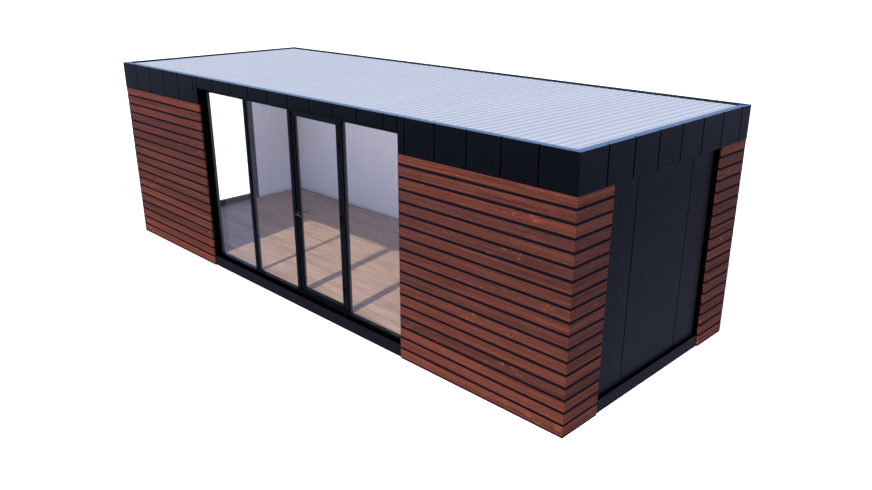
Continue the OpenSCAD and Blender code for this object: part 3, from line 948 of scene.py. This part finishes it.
rows = board_rows()
for side_name in SIDES:
    clad(side_name, rows)
wall("front_wall_left", "front")
wall("front_wall_right", "front")
wall("rear_wall", "rear")
wall("right_wall", "right")
wall("left_wall_sides", "left")
wall("left_wall_lintel", "left")
laminate()
for node in ("fascia_front_left", "fascia_front_middle", "fascia_front_right", "fascia_right",
             "fascia_left", "fascia_rear"):
    trim = SHORT_JOINT_TRIM if node in ("fascia_right", "fascia_left") else 0.0
    dress(node, [FASCIA, FASCIA_PAINTED_SKY, SHADED_TOP, BLACK], fascia_finish, EASE_FASCIA, joint_trim=trim)
for node in ("parapet_long", "parapet_short"):
    dress(node, [BLACK, RAIL_PAINTED_SKY, SHADED_TOP, INNER_RAIL_SHADE], rail_finish)
# The plinth's upper faces are black: painted shade on the ledge at the foot of the walls
dress("plinth", [PLINTH, BLACK], upper_face, EASE_PLINTH)
for node in ("wing_rails", "backing_long", "backing_short", "bay_trims", "recess_trims", "floor_deck"):
    dress(node, [BLACK], None, EASE_LINER, 1)
for node in ("base_beams_long", "base_beams_short", "roof_beams_long", "roof_beams_short"):
    dress(node, [BLACK], None, EASE_BEAM)
dress("roof_sheet", [ROOF], None, EASE_ROOF)
dress("ceiling", [CEILING], None, EASE_CEILING, 1)
for node in ("frame_jambs", "frame_rails", "mullions"):
    frame_round(node, "fixed_glass")
for node in ("door_stiles", "door_rails"):
    frame_round(node, "door_glass")
for node in ("window_jambs", "window_rails"):
    dress(node, [FRAME, WINDOW_FACE], room_face)
for node in ("hinge_pins", "door_hinges"):
    dress(node, [FRAME], None, EASE_PIN)
dress("lever_spindle", [STEEL], None, EASE_PIN)
roses()
lever("lever_outside")
lever("lever_inside")
for node in ("fixed_glass", "window_glass", "door_glass"):
    glaze(node)
roof_strips()
painted_corner_shade()
gaskets("fixed_gaskets", "fixed_glass")
gaskets("window_gaskets", "window_glass")
gaskets("door_gaskets", "door_glass")
door_seals()

# Stage: a plain pale floor, and far out a plain backdrop that only the camera sees
STAGE_HALF = 600.0
STAGE_DROP = 0.0005
STAGE_GLOW = 0.92
BACKDROP_R = 300.0
BACKDROP_H = 200.0
BACKDROP_STEPS = 96
BACKDROP_GLOW = 1.2
WHITE = (1.0, 1.0, 1.0, 1.0)


def stage_piece(name, points, faces, finish):
    mesh = bpy.data.meshes.new(name)
    mesh.from_pydata(points, [], faces)
    mesh.materials.append(finish.material)
    piece = bpy.data.objects.new(name, mesh)
    SCENE.collection.objects.link(piece)
    piece.visible_glossy = False
    return piece


corners = [(-STAGE_HALF, -STAGE_HALF), (STAGE_HALF, -STAGE_HALF), (STAGE_HALF, STAGE_HALF),
           (-STAGE_HALF, STAGE_HALF)]
stage_finish = Finish("stage_white", Base_Color=(0.5, 0.5, 0.5, 1.0), Roughness=0.9,
                      Emission_Color=WHITE, Emission_Strength=STAGE_GLOW)
stage_floor = stage_piece("stage_floor", [(x, y, -STAGE_DROP) for x, y in corners], [(0, 1, 2, 3)],
                          stage_finish)

ring = []
quads = []
for step in range(BACKDROP_STEPS):
    turn = 2 * math.pi * step / BACKDROP_STEPS
    after = (step + 1) % BACKDROP_STEPS
    for z in (-STAGE_DROP, BACKDROP_H):
        ring.append((BACKDROP_R * math.cos(turn), BACKDROP_R * math.sin(turn), z))
    quads.append((2 * step, 2 * after, 2 * after + 1, 2 * step + 1))
backdrop_finish = Finish("backdrop_white", Base_Color=(0.0, 0.0, 0.0, 1.0), Specular_IOR_Level=0.0,
                         Emission_Color=WHITE, Emission_Strength=BACKDROP_GLOW)
backdrop_finish.material.cycles.emission_sampling = "NONE"
stage_backdrop = stage_piece("stage_backdrop", ring, quads, backdrop_finish)
stage_backdrop.visible_diffuse = False
stage_backdrop.visible_transmission = False
stage_backdrop.visible_shadow = False

# Sun from the front
SUN_FROM = Vector((0.195, -0.981, 0.0)).normalized()
SUN_HEIGHT = math.radians(50.2)
SUN_WIDTH = math.radians(1.6)
SUN_POWER = 5.0
SUN_COLOUR = (1.0, 0.945, 0.80)
sun = bpy.data.lights.new("sun", "SUN")
sun.energy = SUN_POWER
sun.angle = SUN_WIDTH
sun.color = SUN_COLOUR
sun_object = bpy.data.objects.new("sun", sun)
sun_object.rotation_mode = "QUATERNION"
sun_way = SUN_FROM * math.cos(SUN_HEIGHT) + Vector((0, 0, math.sin(SUN_HEIGHT)))
sun_object.rotation_quaternion = sun_way.to_track_quat("Z", "Y")
SCENE.collection.objects.link(sun_object)

# Soft light in the room, down from the ceiling and up from the floor: power, height, tilt and insets
FILL_GAP = 0.012
FILL_COLOUR = (0.665, 0.770, 1.26)
room_low, room_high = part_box("floor_laminate")
room_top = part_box("ceiling")[0].z
FILLS = {
    "room_fill_down": (37.0, room_top - FILL_GAP, 0.0, (0.12, 0.32)),
    "room_fill_up": (20.0, room_high.z + FILL_GAP, math.pi, (0.03, 0.03)),
}
for name, (power, height, tilt, inset) in FILLS.items():
    fill = bpy.data.lights.new(name, "AREA")
    fill.shape = "RECTANGLE"
    fill.size = room_high.x - room_low.x - 2 * inset[0]
    fill.size_y = room_high.y - room_low.y - 2 * inset[1]
    fill.energy = power
    fill.color = FILL_COLOUR
    fill_object = bpy.data.objects.new(name, fill)
    fill_object.location = (0.0, (room_low.y + room_high.y) / 2, height)
    fill_object.rotation_euler.x = tilt
    fill_object.visible_camera = False
    fill_object.visible_glossy = False
    fill_object.visible_transmission = False
    SCENE.collection.objects.link(fill_object)

# Sky, from straight down to straight up
world = bpy.data.worlds.new("sky")
world.use_nodes = True
SCENE.world = world
SKY_STOPS = [(0.0, (0.100, 0.115, 0.170)), (0.30, (0.100, 0.115, 0.170)), (0.37, (0.080, 0.094, 0.160)),
             (0.40, (0.102, 0.117, 0.188)), (0.42, (0.130, 0.145, 0.218)), (0.44, (0.185, 0.197, 0.300)),
             (0.495, (0.240, 0.255, 0.360)), (0.505, (0.50, 0.62, 0.88)), (0.64, (0.38, 0.58, 1.08)),
             (1.0, (0.28, 0.48, 1.00))]
REAR_GAIN = 0.25
sky = Nodes(world.node_tree)
sky_way = sky.split(sky.position("Generated"))
sky_colour = sky.ramp(sky.line(sky_way[2], 0.5, 0.5), SKY_STOPS)
# Below the horizon the surroundings are lighter towards the rear
rearwards = sky.times(sky_way[1], sky.ranged(sky_way[2], 0.02, -0.02))
sky.feed(world.node_tree.nodes["Background"].inputs["Color"],
         sky.scaled(sky_colour, sky.line(rearwards, REAR_GAIN, 1.0)))

# Camera at the photograph's place
CAMERA_AT = (7.326, -6.401, 3.957)
CAMERA_TURN = (69.870, 0.0, 44.982)
CAMERA_LENS = 31.962
CAMERA_SENSOR = 36.0
CAMERA_REACH = 2000.0
camera = bpy.data.cameras.new("camera")
camera.lens = CAMERA_LENS
camera.sensor_width = CAMERA_SENSOR
camera.clip_end = CAMERA_REACH
camera_object = bpy.data.objects.new("camera", camera)
camera_object.location = CAMERA_AT
camera_object.rotation_euler = [math.radians(a) for a in CAMERA_TURN]
SCENE.collection.objects.link(camera_object)
SCENE.camera = camera_object
SCENE.view_settings.view_transform = "Standard"
